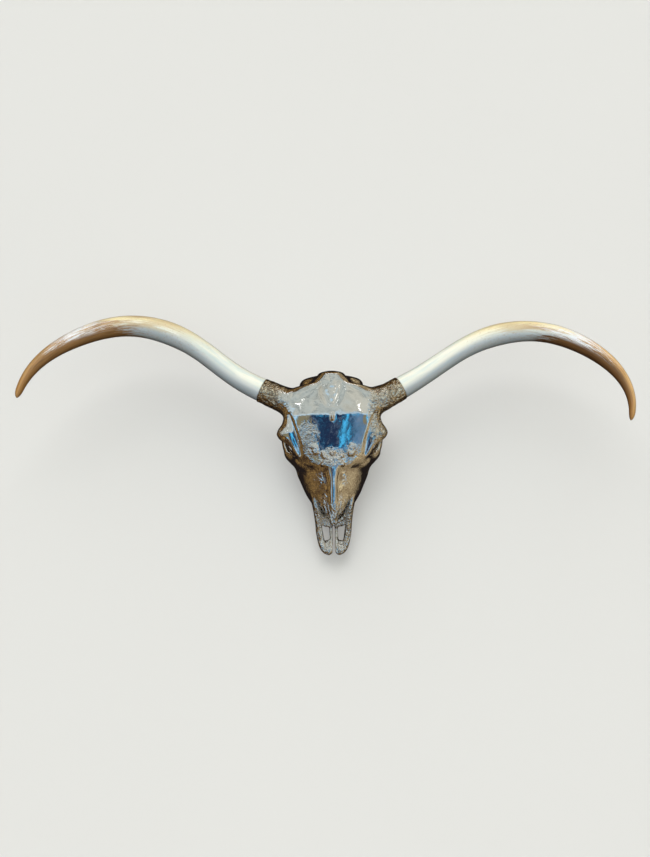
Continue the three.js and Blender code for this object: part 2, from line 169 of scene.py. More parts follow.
def loft(rows, roof=2.3, floor=2.3, round=5.0):
    # rows are at, half, mid, up, down, with roof roundness and side shift where they differ
    at = [r[0] for r in rows]
    shift = [r[6] if len(r) > 6 else 0.0 for r in rows]
    roofs = [r[5] if len(r) > 5 and r[5] else roof for r in rows]
    low = (min(s - r[1] for r, s in zip(rows, shift)), at[0], min(r[2] - r[4] for r in rows))
    high = (max(s + r[1] for r, s in zip(rows, shift)), at[-1], max(r[2] + r[3] for r in rows))

    def far(x, y, z):
        yy = np.clip(y, at[0], at[-1])
        half, mid, up, down = (hermite(yy, at, [r[i] for r in rows]) for i in (1, 2, 3, 4))
        side = hermite(yy, at, shift)
        power = np.where(z >= mid, hermite(yy, at, roofs), floor)
        tall = np.where(z >= mid, up, down)
        u = np.abs(x - side) / half
        v = np.abs(z - mid) / tall
        f = (u ** power + v ** power + 1e-6) ** (1 / power)
        # first order distance from the section's own slope
        gu = (u ** (power - 1)) * f ** (1 - power) / half
        gv = (v ** (power - 1)) * f ** (1 - power) / tall
        d = (f - 1) / np.sqrt(gu * gu + gv * gv + 1e-6)
        d = np.clip(d, -farReach, farReach)
        ends = np.maximum(at[0] - y, y - at[-1])
        return softMax(d, ends + 0 * d, round).astype(np.float32)

    return {"box": (low, high), "far": far}


def ball(centre, radii, turn=0.0, lean=0.0):
    # turn is about z and lean about y, in degrees
    a, b = math.radians(turn), math.radians(lean)
    reach = max(radii)
    low = tuple(c - reach for c in centre)
    high = tuple(c + reach for c in centre)

    def far(x, y, z):
        px, py, pz = x - centre[0], y - centre[1], z - centre[2]
        qx = px * math.cos(a) + py * math.sin(a)
        qy = -px * math.sin(a) + py * math.cos(a)
        rx = qx * math.cos(b) - pz * math.sin(b)
        rz = qx * math.sin(b) + pz * math.cos(b)
        ex, ey, ez = rx / radii[0], qy / radii[1], rz / radii[2]
        k0 = np.sqrt(ex * ex + ey * ey + ez * ez) + 1e-6
        k1 = np.sqrt((ex / radii[0]) ** 2 + (ey / radii[1]) ** 2 + (ez / radii[2]) ** 2) + 1e-6
        return np.clip(k0 * (k0 - 1) / k1, -farReach, farReach).astype(np.float32)

    return {"box": (low, high), "far": far}


def smoothPath(points, count):
    points = np.asarray(points, float)
    gaps = np.r_[0, np.cumsum(np.linalg.norm(np.diff(points, axis=0), axis=1))]
    at = np.linspace(0, gaps[-1], count)
    return np.stack([hermite(at, gaps, points[:, i]) for i in range(3)], 1), at / gaps[-1]


def tube(points, sizes, count=16, up=(0, 0, 1)):
    # sizes are half-widths across and upright, at even steps
    path, t = smoothPath(points, count)
    knots = np.linspace(0, 1, len(sizes))
    across = hermite(t, knots, [s[0] for s in sizes])
    tall = hermite(t, knots, [s[1] for s in sizes])
    reach = max(across.max(), tall.max())

    def far(x, y, z):
        best = np.full(np.broadcast(x, y, z).shape, farReach, np.float32)
        for k in range(count - 1):
            a, b = path[k], path[k + 1]
            run = b - a
            length = np.linalg.norm(run)
            run = run / length
            side = np.cross(run, up)
            side = side / np.linalg.norm(side)
            rise = np.cross(side, run)
            px, py, pz = x - a[0], y - a[1], z - a[2]
            s = np.clip(px * run[0] + py * run[1] + pz * run[2], 0, length)
            ox, oy, oz = px - s * run[0], py - s * run[1], pz - s * run[2]
            f = s / length
            ra = across[k] + (across[k + 1] - across[k]) * f
            rb = tall[k] + (tall[k + 1] - tall[k]) * f
            e = (ox * side[0] + oy * side[1] + oz * side[2]) / ra
            h = (ox * rise[0] + oy * rise[1] + oz * rise[2]) / rb
            small = np.minimum(ra, rb)
            w = (ox * run[0] + oy * run[1] + oz * run[2]) / small
            k0 = np.sqrt(e * e + h * h + w * w) + 1e-6
            k1 = np.sqrt((e / ra) ** 2 + (h / rb) ** 2 + (w / small) ** 2) + 1e-6
            best = np.minimum(best, np.clip(k0 * (k0 - 1) / k1, -farReach, farReach))
        return best.astype(np.float32)

    return {"box": (tuple(path.min(0) - reach), tuple(path.max(0) + reach)), "far": far}


def several(shapes, blend=3.0):
    lows = np.array([s["box"][0] for s in shapes])
    highs = np.array([s["box"][1] for s in shapes])

    def far(x, y, z):
        d = shapes[0]["far"](x, y, z)
        for s in shapes[1:]:
            d = softMin(d, s["far"](x, y, z), blend)
        return d

    return {"box": (tuple(lows.min(0)), tuple(highs.max(0))), "far": far}


def mirrored(side, points):
    return [(side * p[0],) + tuple(p[1:]) for p in points]


def softNoise(field, cell, seed):
    # random values on a coarse grid, eased to the fine one, about -1 to 1
    rng = np.random.default_rng(seed)
    counts = [int((field.axes[i][-1] - field.axes[i][0]) / cell) + 4 for i in range(3)]
    values = rng.uniform(-1, 1, counts).astype(np.float32)
    for axis in range(3):
        at = (field.axes[axis] - field.axes[axis][0]) / cell
        k = at.astype(int)
        f = (at - k).astype(np.float32)
        f = f * f * (3 - 2 * f)
        shape = [1, 1, 1]
        shape[axis] = -1
        f = f.reshape(shape)
        values = np.take(values, k, axis) * (1 - f) + np.take(values, k + 1, axis) * f
    return values


# skull shape
skull = {
    "step": 1.9,     # grid size
    "waves": 0.22,      # slow unevenness of the plating
    "grain": 0.1,
    "burr": 1.5,        # coarse bone at the horn cores
    "crackle": 1.1,     # beside the brow groove
    "slotHalf": 2.2,    # between the two premaxillae
    "slotSpread": 1.4,
    "slotEnd": 66,
    "faceAt": 243,      # plane between face and cranium
    "faceLean": 0.42,
    "knobs": 34,        # at the root of the nasal bones
    "curls": 9,         # on either side of them
    "seed": 7,
    "rowStart": 126.0,  # cheek teeth: where they begin, and how their row curves
    "rowLength": 136.0,
    "rowHalf": 37.0,
    "rowBulge": 18.0,
    "coreRoot": (172.0, 394.6, 145.5),
    "coreTilt": -0.03,
    "cores": {          # heading in degrees, radius and width of the base
        "left": (26.0, 31.0, 40),
        "right": (29.4, 30.0, 36),
    },
}

# rows along the skull: at, half width, middle height, rise, drop and roundness of the roof
frontalRows = [
    [200, 50, 116, 24, 40], [214, 72, 119, 26, 40, 2.2], [230, 91, 123, 27, 34, 2.1],
    [245, 106, 128, 26.8, 26, 2.05],
    [258, 118, 133, 25.9, 20, 2.05], [270, 129, 136, 26.6, 17, 2.05], [278, 134, 137, 28.2, 16, 2.05],
    [285, 136, 138, 29.4, 16, 2.05], [294, 132, 139, 31.2, 16, 2.15], [307, 124, 141, 33.3, 17, 2.35],
    [322, 119, 143, 36, 19, 2.6], [345, 119, 146, 37.8, 22, 2.6], [368, 117, 148, 40.2, 26, 2.5],
    [386, 108, 149, 42.2, 30], [397, 88, 150, 42.6, 32], [404, 60, 152, 41, 28],
    [414, 45, 154, 39.5, 28], [424, 35, 155, 37.5, 24], [430, 30, 156, 31, 20], [434, 20, 157, 20, 14],
]
brainRows = [
    [205, 46, 84, 50, 50], [240, 46, 86, 62, 50], [270, 42, 88, 60, 44], [300, 46, 90, 60, 42],
    [330, 60, 94, 64, 42], [360, 74, 98, 70, 42], [390, 80, 104, 66, 44], [408, 80, 106, 52, 46],
    [418, 77, 108, 42, 46], [426, 66, 110, 34, 40], [432, 44, 112, 26, 30],
]
faceRows = [
    [127, 57, 60, 42, 27], [143, 67, 60, 54, 27], [163, 76, 60, 64, 27], [183, 82, 60, 72, 27],
    [203, 86, 62, 78, 29], [220, 88, 66, 80, 33], [238, 82, 70, 76, 37], [254, 68, 74, 66, 41],
    [266, 46, 76, 50, 43],
]
troughRows = [
    [64, 24, 41, 4, 7], [78, 36, 42, 7, 9], [92, 46, 46, 13, 13],
    [108, 50, 50, 22, 17], [128, 56, 54, 28, 21], [146, 62, 56, 30, 23],
]
nasalRows = [
    [61, 4, 88, 5, 2.5, 2], [67, 8.5, 88, 8, 3.5, 2], [76, 11.5, 89, 9.5, 4, 2],
    [88, 15, 90, 12, 4.5, 2], [97, 23, 90, 14, 4.5, 1.6], [110, 32, 90, 18, 4.5, 1.5],
    [127, 40, 91, 22.5, 5, 1.4], [150, 36, 100, 21.5, 5, 1.4],
    [175, 31, 112, 20, 5, 1.5], [200, 28, 124, 19, 5, 1.7],
    [216, 24, 132, 17, 5, 2], [225, 11, 137, 14, 5, 2],
]
barRows = [
    [61, 4, 88, 5, 3], [67, 8.5, 88, 8, 3], [76, 10.5, 89, 10, 4], [97, 11, 96, 10.5, 8],
    [127, 11, 106, 12, 10], [150, 11, 114, 12, 10], [166, 11.5, 120, 12.5, 10],
    [180, 13.5, 126, 12.5, 10], [193, 17, 131, 12.5, 10],
    [205, 23, 135, 13, 10], [216, 27, 138, 13, 10], [225, 22, 140, 12, 10],
]
passageRows = [
    [56, 4, 66, 8, 8], [90, 26, 66, 22, 23], [110, 33, 67, 27, 25], [127, 37, 70, 30, 27],
    [150, 38, 74, 34, 28], [175, 32, 80, 32, 28], [192, 18, 86, 20, 18],
]


def nasalShape():
    # tent of the two nasal bones with the narrow bar along its ridge
    return several([loft(nasalRows, 2, 3, 3), loft(barRows, 2.6, 2.4, 3)], 2.5)


def cheekShape(side):
    arch = tube(mirrored(side, [(84, 214, 72), (98, 229, 76), (108, 243, 78), (118, 268, 80),
                                (120, 290, 82), (115, 312, 86), (102, 336, 90)]),
                [(9, 17), (11, 18), (9, 12), (7.5, 10), (7, 9), (6.5, 9), (6, 7)], 16)
    rim = tube(mirrored(side, [(108, 243, 78), (99, 231, 94), (86, 225, 112)]),
               [(10, 11), (8, 10), (7, 9)], 8, (0, 1, 0))
    bar = tube(mirrored(side, [(119, 294, 82), (121, 301, 100), (121, 302, 118)]),
               [(6.5, 12), (6, 9.5), (7, 10)], 8, (0, 1, 0))
    return several([arch, rim, bar], 8)


def premaxShape(side):
    plate = ball((side * 15, 13.6, 34.5), (17, 18.2, 6.5), side * -11, side * 8)
    tip = ball((side * 14.5, 8.5, 34), (14, 12, 6.5))
    outer = tube(mirrored(side, [(12, 0, 33.5), (25.5, 10, 35.5), (32.5, 33, 39), (36, 54, 45),
                                 (38, 78, 53), (41, 104, 63), (49, 138, 79)]),
                 [(7, 5.5), (8.5, 7), (9, 9), (8.5, 11), (9, 13), (9, 15), (7, 10)], 18)
    inner = tube(mirrored(side, [(8, 8, 34.5), (7, 42, 36), (6.5, 76, 38), (6.5, 106, 41)]),
                 [(5, 5), (4.5, 4.5), (4.2, 4.5), (4, 4.5)], 10)
    return several([plate, tip, outer, inner], 4)


def coreShape(word):
    side = sides[word]
    heading, radius, base = skull["cores"][word]
    heading = math.radians(heading)
    x, y, z = skull["coreRoot"]
    run = np.array([side * math.cos(heading), math.sin(heading), skull["coreTilt"]])
    root = np.array([side * x, y, z])
    points = [(side * 80, y - 40, z - 7)] + [tuple(root + run * r) for r in (-34, -17, -1.5)]
    sizes = [(base, 25), (34, 32), (radius + 0.6, radius + 0.6), (radius, radius)]
    return tube(points, sizes, 12), root, run


def rowX(at):
    # middle of the row of cheek teeth
    t = min(max((at - skull["rowStart"]) / skull["rowLength"], 0), 1)
    return skull["rowHalf"] + skull["rowBulge"] * math.sin(math.pi / 2 * t)


def buildSkullField():
    # the grid's corners hold the skull up to the ends of its horn cores
    f = Field((-214, -12, -3), (214, 452, 206), skull["step"])
    f.join(loft(frontalRows, 2.4, 2.2, 9), 0)
    f.join(loft(brainRows, 2.4, 2.4, 8), 10)
    f.join(loft(faceRows, 1.8, 3.4, 6), 9)
    f.join(loft(troughRows, 3, 3, 4), 6)
    f.join(ball((0, 404, 158), (34, 26, 28)), 12)  # poll boss
    f.join(ball((0, 414, 124), (70, 17, 30)), 10)  # back wall
    for side in (-1, 1):
        f.join(tube(mirrored(side, [(120, 285, 142), (121, 296, 130), (121, 302, 112)]),
                    [(12, 10), (8, 10), (6, 9)], 8, (0, 1, 0)), 9)  # post behind the orbit
        f.join(ball((side * 64, 222, 96), (32, 25, 32)), 10)  # bulge before it
        f.join(ball((side * 27, 427, 68), (19, 17, 23)), 5)  # condyle
        f.join(tube(mirrored(side, [(60, 412, 84), (60, 416, 50), (57, 420, 22), (55, 420, -3)]),
                    [(19, 14), (14, 10), (10, 8), (7, 6)], 10, (0, 1, 0)), 8)  # jugular process
        f.join(ball((side * 72, 388, 80), (18, 24, 22)), 8)  # swelling behind the ear
        f.join(ball((side * 46, 372, 56), (14, 21, 15)), 6)  # ear capsule
        f.join(ball((side * 84, 350, 86), (27, 20, 13), side * 17), 7)  # jaw joint
        f.join(loft([[250, 7, 58, 30, 22, 0, side * 30], [275, 6, 58, 30, 24, 0, side * 28],
                     [300, 5, 58, 28, 20, 0, side * 25], [322, 4, 62, 18, 12, 0, side * 22]],
                    2.3, 2.3, 3), 4)  # wing of the palate
        stops = [112, 150, 190, 230, 268]
        f.join(tube([(side * rowX(at), at, 42) for at in stops],
                    [(9, 12), (14, 19), (17, 22), (17, 22), (11, 18)], 12), 6)  # tooth sockets
    f.join(ball((0, 398, 58), (26, 42, 15)), 8)  # base
    for side in (-1, 1):
        # orbit and the hollow behind it
        f.cut(ball((side * 106, 263, 107), (62, 34, 32), side * -12.6, side * 7), 6)
        f.cut(ball((side * 114, 342, 110), (44, 36, 26), side * -20, side * -6), 8)
    # nerve opening at the back, then the nasal passage and the bones over it
    f.cut(tube([(0, 460, 74), (0, 434, 84), (0, 412, 92)], [(19, 16), (18, 17), (12, 12)], 6), 3)
    f.cut(loft(passageRows, 2.2, 2.6, 5), 4)
    f.join(nasalShape(), 3)
    for side in (-1, 1):
        f.join(cheekShape(side), 7)
        f.join(premaxShape(side), 5)
    cores = [coreShape(word) for word in sides]
    for core, _, _ in cores:
        f.join(core, 14)
    return f, cores


def addDetail(f):
    # two long hollows that make a heart on the boss, the knob between them and one on the brow
    for side in (-1, 1):
        f.cut(tube(mirrored(side, [(24, 397, 201.5), (20, 378, 199), (9, 352, 193.5)]),
                   [(9, 9), (11, 10.5), (8, 8)], 10), 7)
    f.join(ball((0, 403, 184.5), (11, 11, 7)), 8)
    f.join(ball((1, 319, 176), (3.5, 9, 6)), 4)
    for side in (-1, 1):
        # ridge from the horn core to the brow, and the long groove below it
        f.join(tube(mirrored(side, [(136, 388, 164), (118, 372, 168), (106, 348, 167),
                                    (101, 326, 164)]),
                    [(5, 4), (5, 4), (4.5, 4), (4, 3.5)], 10), 9)
        f.cut(tube(mirrored(side, [(104, 328, 167), (100, 306, 165), (96, 284, 160.7),
                                   (89, 258, 151.8), (80, 232, 138.5)]),
                   [(3, 3), (8, 4.5), (12, 5), (12, 5), (5, 3.5)], 14), 4)
        # crest of the face and the hole under it
        f.join(tube(mirrored(side, [(86, 216, 66), (80, 192, 58), (66, 166, 52)]),
                    [(7, 6), (7, 6), (3, 4)], 8), 9)
        f.cut(ball((side * 60, 150, 62), (7, 6, 5)), 4)
    # the root of the nasal bones is a field of small knobs, with a few curls on either side
    rng = random.Random(skull["seed"])
    for _ in range(skull["knobs"]):
        x, y = rng.uniform(-26, 26), rng.uniform(204, 237)
        f.join(ball((x, y, 144 + (y - 206) * 0.3 - abs(x) * 0.12),
                    (rng.uniform(2.6, 4), rng.uniform(3.5, 6.5), 5), rng.uniform(-60, 60)), 2)
    for _ in range(skull["curls"]):
        for side in (-1, 1):
            x, y = rng.uniform(38, 56), rng.uniform(231, 253)
            f.join(ball((side * x, y, 149.5 + (y - 240) * 0.3 - (x - 47) * 0.25),
                        (rng.uniform(2.6, 4), rng.uniform(4, 7.5), 3.5), rng.uniform(-50, 50)), 3)


def addSurface(f):
    waves = softNoise(f, 21, 3) * skull["waves"] + softNoise(f, 9, 4) * skull["grain"]
    x = np.abs(f.axes[0])[:, None, None]
    y = f.axes[1][None, :, None]
    core = np.clip((x - 112) / 26, 0, 1) * np.clip((y - 340) / 20, 0, 1)
    rough = softNoise(f, 4.6, 5) * 0.7 + softNoise(f, 9.0, 6) * 0.5
    pits = np.clip(softNoise(f, 6.0, 8) - 0.25, 0, 1)
    f.d += (waves * (1 - core) + (rough + pits) * core * skull["burr"]).astype(np.float32)
    # crackle beside the brow grooves
    wide = f.axes[0][:, None, None]
    patch = np.exp(-(((wide + 58) / 14) ** 2 + ((y - 276) / 26) ** 2))
    f.d += (softNoise(f, 6.0, 9) * patch * skull["crackle"]).astype(np.float32)


def surfaceOf(field):
    # the whole skull's surface as points and four-sided faces
    reach = 6.0
    part = np.pad(np.clip(field.d, -reach, reach), 1, constant_values=reach)
    grid = openvdb.FloatGrid(background=reach)
    grid.copyFromArray(np.ascontiguousarray(part, dtype=np.float32))
    points, quads = grid.convertToQuads(isovalue=0.0)
    return (points - 1) * field.step + field.low, quads[:, ::-1]


def largestSurface(points, quads):
    # leaves out scraps and closed hollows inside the bone
    edges = np.concatenate([quads[:, [k, (k + 1) % 4]] for k in range(4)])
    label = np.arange(len(points))
    while True:
        low = np.minimum(label[edges[:, 0]], label[edges[:, 1]])
        new = label.copy()
        np.minimum.at(new, edges[:, 0], low)
        np.minimum.at(new, edges[:, 1], low)
        new = new[new]
        if (new == label).all():
            break
        label = new
    ids, sizes = np.unique(label[quads[:, 0]], return_counts=True)
    return quads[label[quads[:, 0]] == ids[sizes.argmax()]]


def evenOut(points, quads, rounds=3, floor=0.6):
    # each point moves towards the middle of its neighbours, and those on the floor stay
    count = len(points)
    ends = np.concatenate([quads[:, [k, (k + 1) % 4]] for k in range(4)])
    shares = np.maximum(np.bincount(ends.ravel(), minlength=count), 1)[:, None]
    for _ in range(rounds):
        total = np.stack([np.bincount(ends[:, 0], points[ends[:, 1], i], count)
                          + np.bincount(ends[:, 1], points[ends[:, 0], i], count) for i in range(3)], 1)
        moved = points + (total / shares - points) * 0.5
        points = np.where(points[:, 2:3] < floor, points, moved)
    return points


def pointNormals(points, quads):
    a, b, c, d = (points[quads[:, k]] for k in range(4))
    face = np.cross(c - a, d - b)
    normals = np.zeros_like(points)
    for k in range(4):
        for i in range(3):
            normals[:, i] += np.bincount(quads[:, k], face[:, i], len(points))
    return normals / (np.linalg.norm(normals, axis=1)[:, None] + 1e-12)


def boneOf(field, spots):
    # which bone each spot of the surface belongs to
    x, y, z = spots.T
    cell = ((spots - field.low) / field.step).round().astype(int)
    k = tuple(np.clip(cell, 0, field.count - 1).T)
    lean = skull["faceLean"]
    ahead = (y - skull["faceAt"]) * math.cos(lean) + (z - 90) * math.sin(lean)
    word = np.where(x < 0, "left", "right")
    bone = np.where(ahead < 0, np.char.add("maxilla_", word), "cranium").astype("<U20")
    for name, side in sides.items():
        muzzle = (field.sample(premaxShape(side))[k] < 2) & (side * x > 0)
        bone[muzzle] = "premaxilla_" + name
        bone[field.sample(cheekShape(side))[k] < 3] = "zygomatic_" + name
    nasal = (field.sample(nasalShape())[k] < 1.5) & (z > 80)
    return np.where(nasal, np.char.add("nasal_", word), bone)


def bonePiece(name, points, quads, normals):
    used, index = np.unique(quads, return_inverse=True)
    mesh = makeMesh(name, toFrame(points[used]).tolist(), index.reshape(-1, 4).tolist())
    mesh.shade_smooth()
    # normals of the whole skull, so the plating runs on over the joints
    mesh.normals_split_custom_set_from_vertices(normals[used].tolist())
    return link(bpy.data.objects.new(name, mesh))


def buildSkull():
    f, cores = buildSkullField()
    print("bones joined")
    addDetail(f)
    addSurface(f)
    x = f.axes[0][:, None, None].astype(np.float32)
    y = f.axes[1][None, :, None].astype(np.float32)
    z = f.axes[2][None, None, :].astype(np.float32)
    # flat ends of the horn cores
    for _, root, run in cores:
        side = np.sign(root[0])
        past = (x - root[0]) * run[0] + (y - root[1]) * run[1] + (z - root[2]) * run[2]
        near = np.where(x * side > 120, past, -farReach).astype(np.float32)
        f.d = softMax(f.d, near + 0.2, 1.2)
    # slot between the two premaxillae, wider at the tips
    slot = skull["slotHalf"] + np.clip(30 - y, 0, 30) / 30 * skull["slotSpread"] - np.abs(x)
    f.d = softMax(f.d, np.where(y < skull["slotEnd"], slot, -farReach).astype(np.float32), 2)
    f.d = np.maximum(f.d, -z)
    points, quads = surfaceOf(f)
    quads = largestSurface(points, quads)
    points = evenOut(points, quads)
    normals = pointNormals(points, quads)
    bone = boneOf(f, points[quads].mean(1))
    pieces = {}
    for node in sorted(set(bone)):
        pieces[str(node)] = bonePiece(node + "Skin", points, quads[bone == node], normals)
        print(node, int((bone == node).sum()) * 2)
    return pieces


skullPieces = buildSkull()
print("skull made")


# node trees
class NodeHelper:
    # adds and links the nodes of one tree
    def __init__(self, tree):
        self.nodes = tree.nodes
        self.wire = tree.links.new      # from an output to an input

    def add(self, kind, **settings):
        node = self.nodes.new(kind)
        for key, value in settings.items():
            setattr(node, key, value)
        return node

    def feed(self, value, target):
        if isinstance(value, (int, float, tuple)):
            target.default_value = value
        else:
            self.wire(value, target)

    def maths(self, operation, a, b=0.0):
        node = self.add("ShaderNodeMath", operation=operation)
        self.feed(a, node.inputs[0])
        self.feed(b, node.inputs[1])
        return node.outputs[0]

    def times(self, a, b):
        return self.maths("MULTIPLY", a, b)

    def plus(self, a, b):
        return self.maths("ADD", a, b)

    def minus(self, a, b):
        return self.maths("SUBTRACT", a, b)

    def noise(self, vector, scale, detail=3.0, rough=0.5, warp=0.0):
        node = self.add("ShaderNodeTexNoise")
        self.wire(vector, node.inputs["Vector"])
        for word, value in (("Scale", scale), ("Detail", detail), ("Roughness", rough),
                            ("Distortion", warp)):
            node.inputs[word].default_value = value
        return node.outputs[0]

    def cylinder(self, around, height, size=1.0):
        # a spot on a cylinder, so a noise runs on where the ring closes
        angle = self.times(around, 2 * math.pi)
        spot = self.add("ShaderNodeCombineXYZ")
        for k, way in enumerate(("COSINE", "SINE")):
            self.wire(self.times(self.maths(way, angle), size), spot.inputs[k])
        self.wire(height, spot.inputs[2])
        return spot.outputs[0]

    def band(self, value, low, high, to=(0.0, 1.0)):
        node = self.add("ShaderNodeMapRange", interpolation_type="SMOOTHSTEP")
        self.feed(value, node.inputs[0])
        for k, v in enumerate((low, high, to[0], to[1])):
            node.inputs[k + 1].default_value = v
        return node.outputs[0]

    def mix(self, amount, a, b):
        node = self.add("ShaderNodeMix", data_type="RGBA")
        self.feed(amount, node.inputs[0])
        self.feed(a, node.inputs[6])
        self.feed(b, node.inputs[7])
        return node.outputs[2]

    def stretch(self, vector, scale):
        node = self.add("ShaderNodeMapping")
        self.wire(vector, node.inputs["Vector"])
        node.inputs["Scale"].default_value = scale
        return node.outputs[0]

    def bump(self, height, strength, distance, under=None):
        node = self.add("ShaderNodeBump")
        node.inputs["Strength"].default_value = strength
        node.inputs["Distance"].default_value = distance
        self.wire(height, node.inputs["Height"])
        if under is not None:
            self.wire(under, node.inputs["Normal"])
        return node.outputs[0]


def newTree(name, inputs):
    # geometry comes in first, then the named inputs
    tree = bpy.data.node_groups.new(name, "GeometryNodeTree")
    for title, kind in [("Geometry", "Geometry")] + inputs:
        tree.interface.new_socket(name=title, in_out="INPUT", socket_type="NodeSocket" + kind)
    tree.interface.new_socket(name="Geometry", in_out="OUTPUT", socket_type="NodeSocketGeometry")
    s = NodeHelper(tree)
    return tree, s, s.add("NodeGroupInput").outputs


def closeTree(s, enter, shape):
    real = s.add("GeometryNodeRealizeInstances")
    s.wire(shape, real.inputs[0])
    coat = s.add("GeometryNodeSetMaterial")
    s.wire(real.outputs[0], coat.inputs["Geometry"])
    s.wire(enter["Material"], coat.inputs["Material"])
    s.wire(coat.outputs["Geometry"], s.add("NodeGroupOutput").inputs["Geometry"])


def bakeNodes(obj, name, tree, values):
    # runs the tree on the object and leaves its result as a plain mesh
    mod = obj.modifiers.new("nodes", "NODES")
    mod.node_group = tree
    for item in tree.interface.items_tree:
        if item.item_type == "SOCKET" and item.in_out == "INPUT" and item.name in values:
            mod[item.identifier] = values[item.name]
    deps = bpy.context.evaluated_depsgraph_get()
    deps.update()
    mesh = bpy.data.meshes.new_from_object(obj.evaluated_get(deps), preserve_all_data_layers=True,
                                           depsgraph=deps)
    mesh.name = name
    made = link(bpy.data.objects.new(name, mesh))
    bpy.data.objects.remove(obj)
    return made


# horns
horns = {
    "left": {"length": 718.8, "seed": 3.0,
             "heading": (25.7, 38.4, 16.5, -17.1, -41.8, -83.1), "rise": (-1.8, 11.2, 19.3),
             "radius": (29.1, 27.3, 27.1, 28.6, 26.1, 23.7, 19.5, 14.1, 7.5)},
    "right": {"length": 730.4, "seed": 11.0,
              "heading": (29.2, 32.0, 7.9, -24.4, -55.5, -111.7), "rise": (-1.4, 10.0, 17.5),
              "radius": (28.1, 25.7, 25.5, 27.1, 24.7, 23.1, 19.1, 12.5, 6.2)},
}
hornLook = {
    "pathSteps": 300, "ringPoints": 72, "tipRound": 0.97,
    "ridge": 0.00035, "dent": 0.0011,           # heights of the relief, in metres
    "ridgeMiddle": 0.62, "dentMiddle": 0.72,    # above the noise's own middle, so most of it sinks
    "ringSize": 3.4, "lengthSize": 5.0,         # of the cylinder that the noise lies on
}


def between(knots, t):
    # catmull-rom through evenly spaced knots
    last = len(knots) - 1
    u = min(max(t, 0), 1) * last
    i = min(int(u), last - 1)
    f = u - i

    def at(k):
        if k < 0:
            return 2 * knots[0] - knots[1]
        if k > last:
            return 2 * knots[last] - knots[last - 1]
        return knots[k]

    a, b, c, d = at(i - 1), at(i), at(i + 1), at(i + 2)
    return 0.5 * (2 * b + (c - a) * f + (2 * a - 5 * b + 4 * c - d) * f * f
                  + (3 * b - a - 3 * c + d) * f ** 3)


def hornPoints(word, steps=192):
    horn, side = horns[word], sides[word]
    x, y, z = skull["coreRoot"]
    at = np.array((side * x, y, z))
    points = [at]
    for k in range(steps):
        t = (k + 0.5) / steps
        turn = math.radians(between(horn["heading"], t))
        lift = math.radians(between(horn["rise"], t))
        run = np.array([side * math.cos(turn) * math.cos(lift), math.sin(turn) * math.cos(lift),
                        math.sin(lift)])
        at = at + run * horn["length"] / steps
        points.append(at)
    return points


def hornTree():
    # curve in, horn with lengthwise ridges out
    tree, s, enter = newTree("hornGrowth", [
        ("Path Steps", "Int"), ("Ring Points", "Int"), ("Ridge", "Float"), ("Dent", "Float"),
        ("Seed", "Float"), ("Material", "Material")])

    def keep(curve, name):
        # stores how far along the curve each point lies
        store = s.add("GeometryNodeStoreNamedAttribute", data_type="FLOAT", domain="POINT")
        store.inputs["Name"].default_value = name
        s.wire(curve, store.inputs["Geometry"])
        s.wire(s.add("GeometryNodeSplineParameter").outputs["Factor"], store.inputs["Value"])
        return store.outputs["Geometry"]

    def read(name):
        node = s.add("GeometryNodeInputNamedAttribute", data_type="FLOAT")
        node.inputs["Name"].default_value = name
        return node.outputs["Attribute"]

    even = s.add("GeometryNodeResampleCurve")
    s.wire(enter["Geometry"], even.inputs["Curve"])
    s.wire(enter["Path Steps"], even.inputs["Count"])
    ring = s.add("GeometryNodeCurvePrimitiveCircle", mode="RADIUS")
    ring.inputs["Radius"].default_value = 1.0
    s.wire(enter["Ring Points"], ring.inputs["Resolution"])
    body = s.add("GeometryNodeCurveToMesh")
    body.inputs["Fill Caps"].default_value = True
    s.wire(keep(even.outputs["Curve"], "along"), body.inputs["Curve"])
    s.wire(keep(ring.outputs["Curve"], "around"), body.inputs["Profile Curve"])
    if body.inputs.get("Scale") is not None:
        s.wire(s.add("GeometryNodeInputRadius").outputs[0], body.inputs["Scale"])
    # noise stretched along the horn
    height = s.plus(s.times(read("along"), hornLook["lengthSize"]), enter["Seed"])
    spot = s.cylinder(read("around"), height, hornLook["ringSize"])
    fine = s.minus(s.noise(spot, 1.6, 4.0), hornLook["ridgeMiddle"])
    broad = s.minus(s.noise(spot, 0.42, 1.0), hornLook["dentMiddle"])
    ridges = s.times(fine, enter["Ridge"])
    dents = s.times(broad, enter["Dent"])
    outward = s.add("ShaderNodeVectorMath", operation="SCALE")
    s.wire(s.add("GeometryNodeInputNormal").outputs[0], outward.inputs[0])
    s.wire(s.plus(ridges, dents), outward.inputs["Scale"])
    shift = s.add("GeometryNodeSetPosition")
    s.wire(body.outputs["Mesh"], shift.inputs["Geometry"])
    s.wire(outward.outputs[0], shift.inputs["Offset"])
    soft = s.add("GeometryNodeSetShadeSmooth")
    s.wire(shift.outputs["Geometry"], soft.inputs[0])
    closeTree(s, enter, soft.outputs[0])
    return tree


def makeHorn(word, tree, material):
    horn = horns[word]
    points = toFrame(hornPoints(word))
    data = bpy.data.curves.new(word + "Path", "CURVE")
    data.dimensions = "3D"
    line = data.splines.new("POLY")
    last = len(points) - 1
    line.points.add(last)
    for k, p in enumerate(points):
        t = k / last
        radius = between(horn["radius"], t)
        if t > hornLook["tipRound"]:
            u = (t - hornLook["tipRound"]) / (1 - hornLook["tipRound"])
            radius *= math.sqrt(max(1 - u * u, 0.01))
        line.points[k].co = (*p, 1)
        line.points[k].radius = radius / 1000
    path = link(bpy.data.objects.new(word + "Path", data))
    return bakeNodes(path, "horn_" + word + "Sheath", tree, {
        "Path Steps": hornLook["pathSteps"], "Ring Points": hornLook["ringPoints"],
        "Ridge": hornLook["ridge"], "Dent": hornLook["dent"], "Seed": horn["seed"],
        "Material": material})


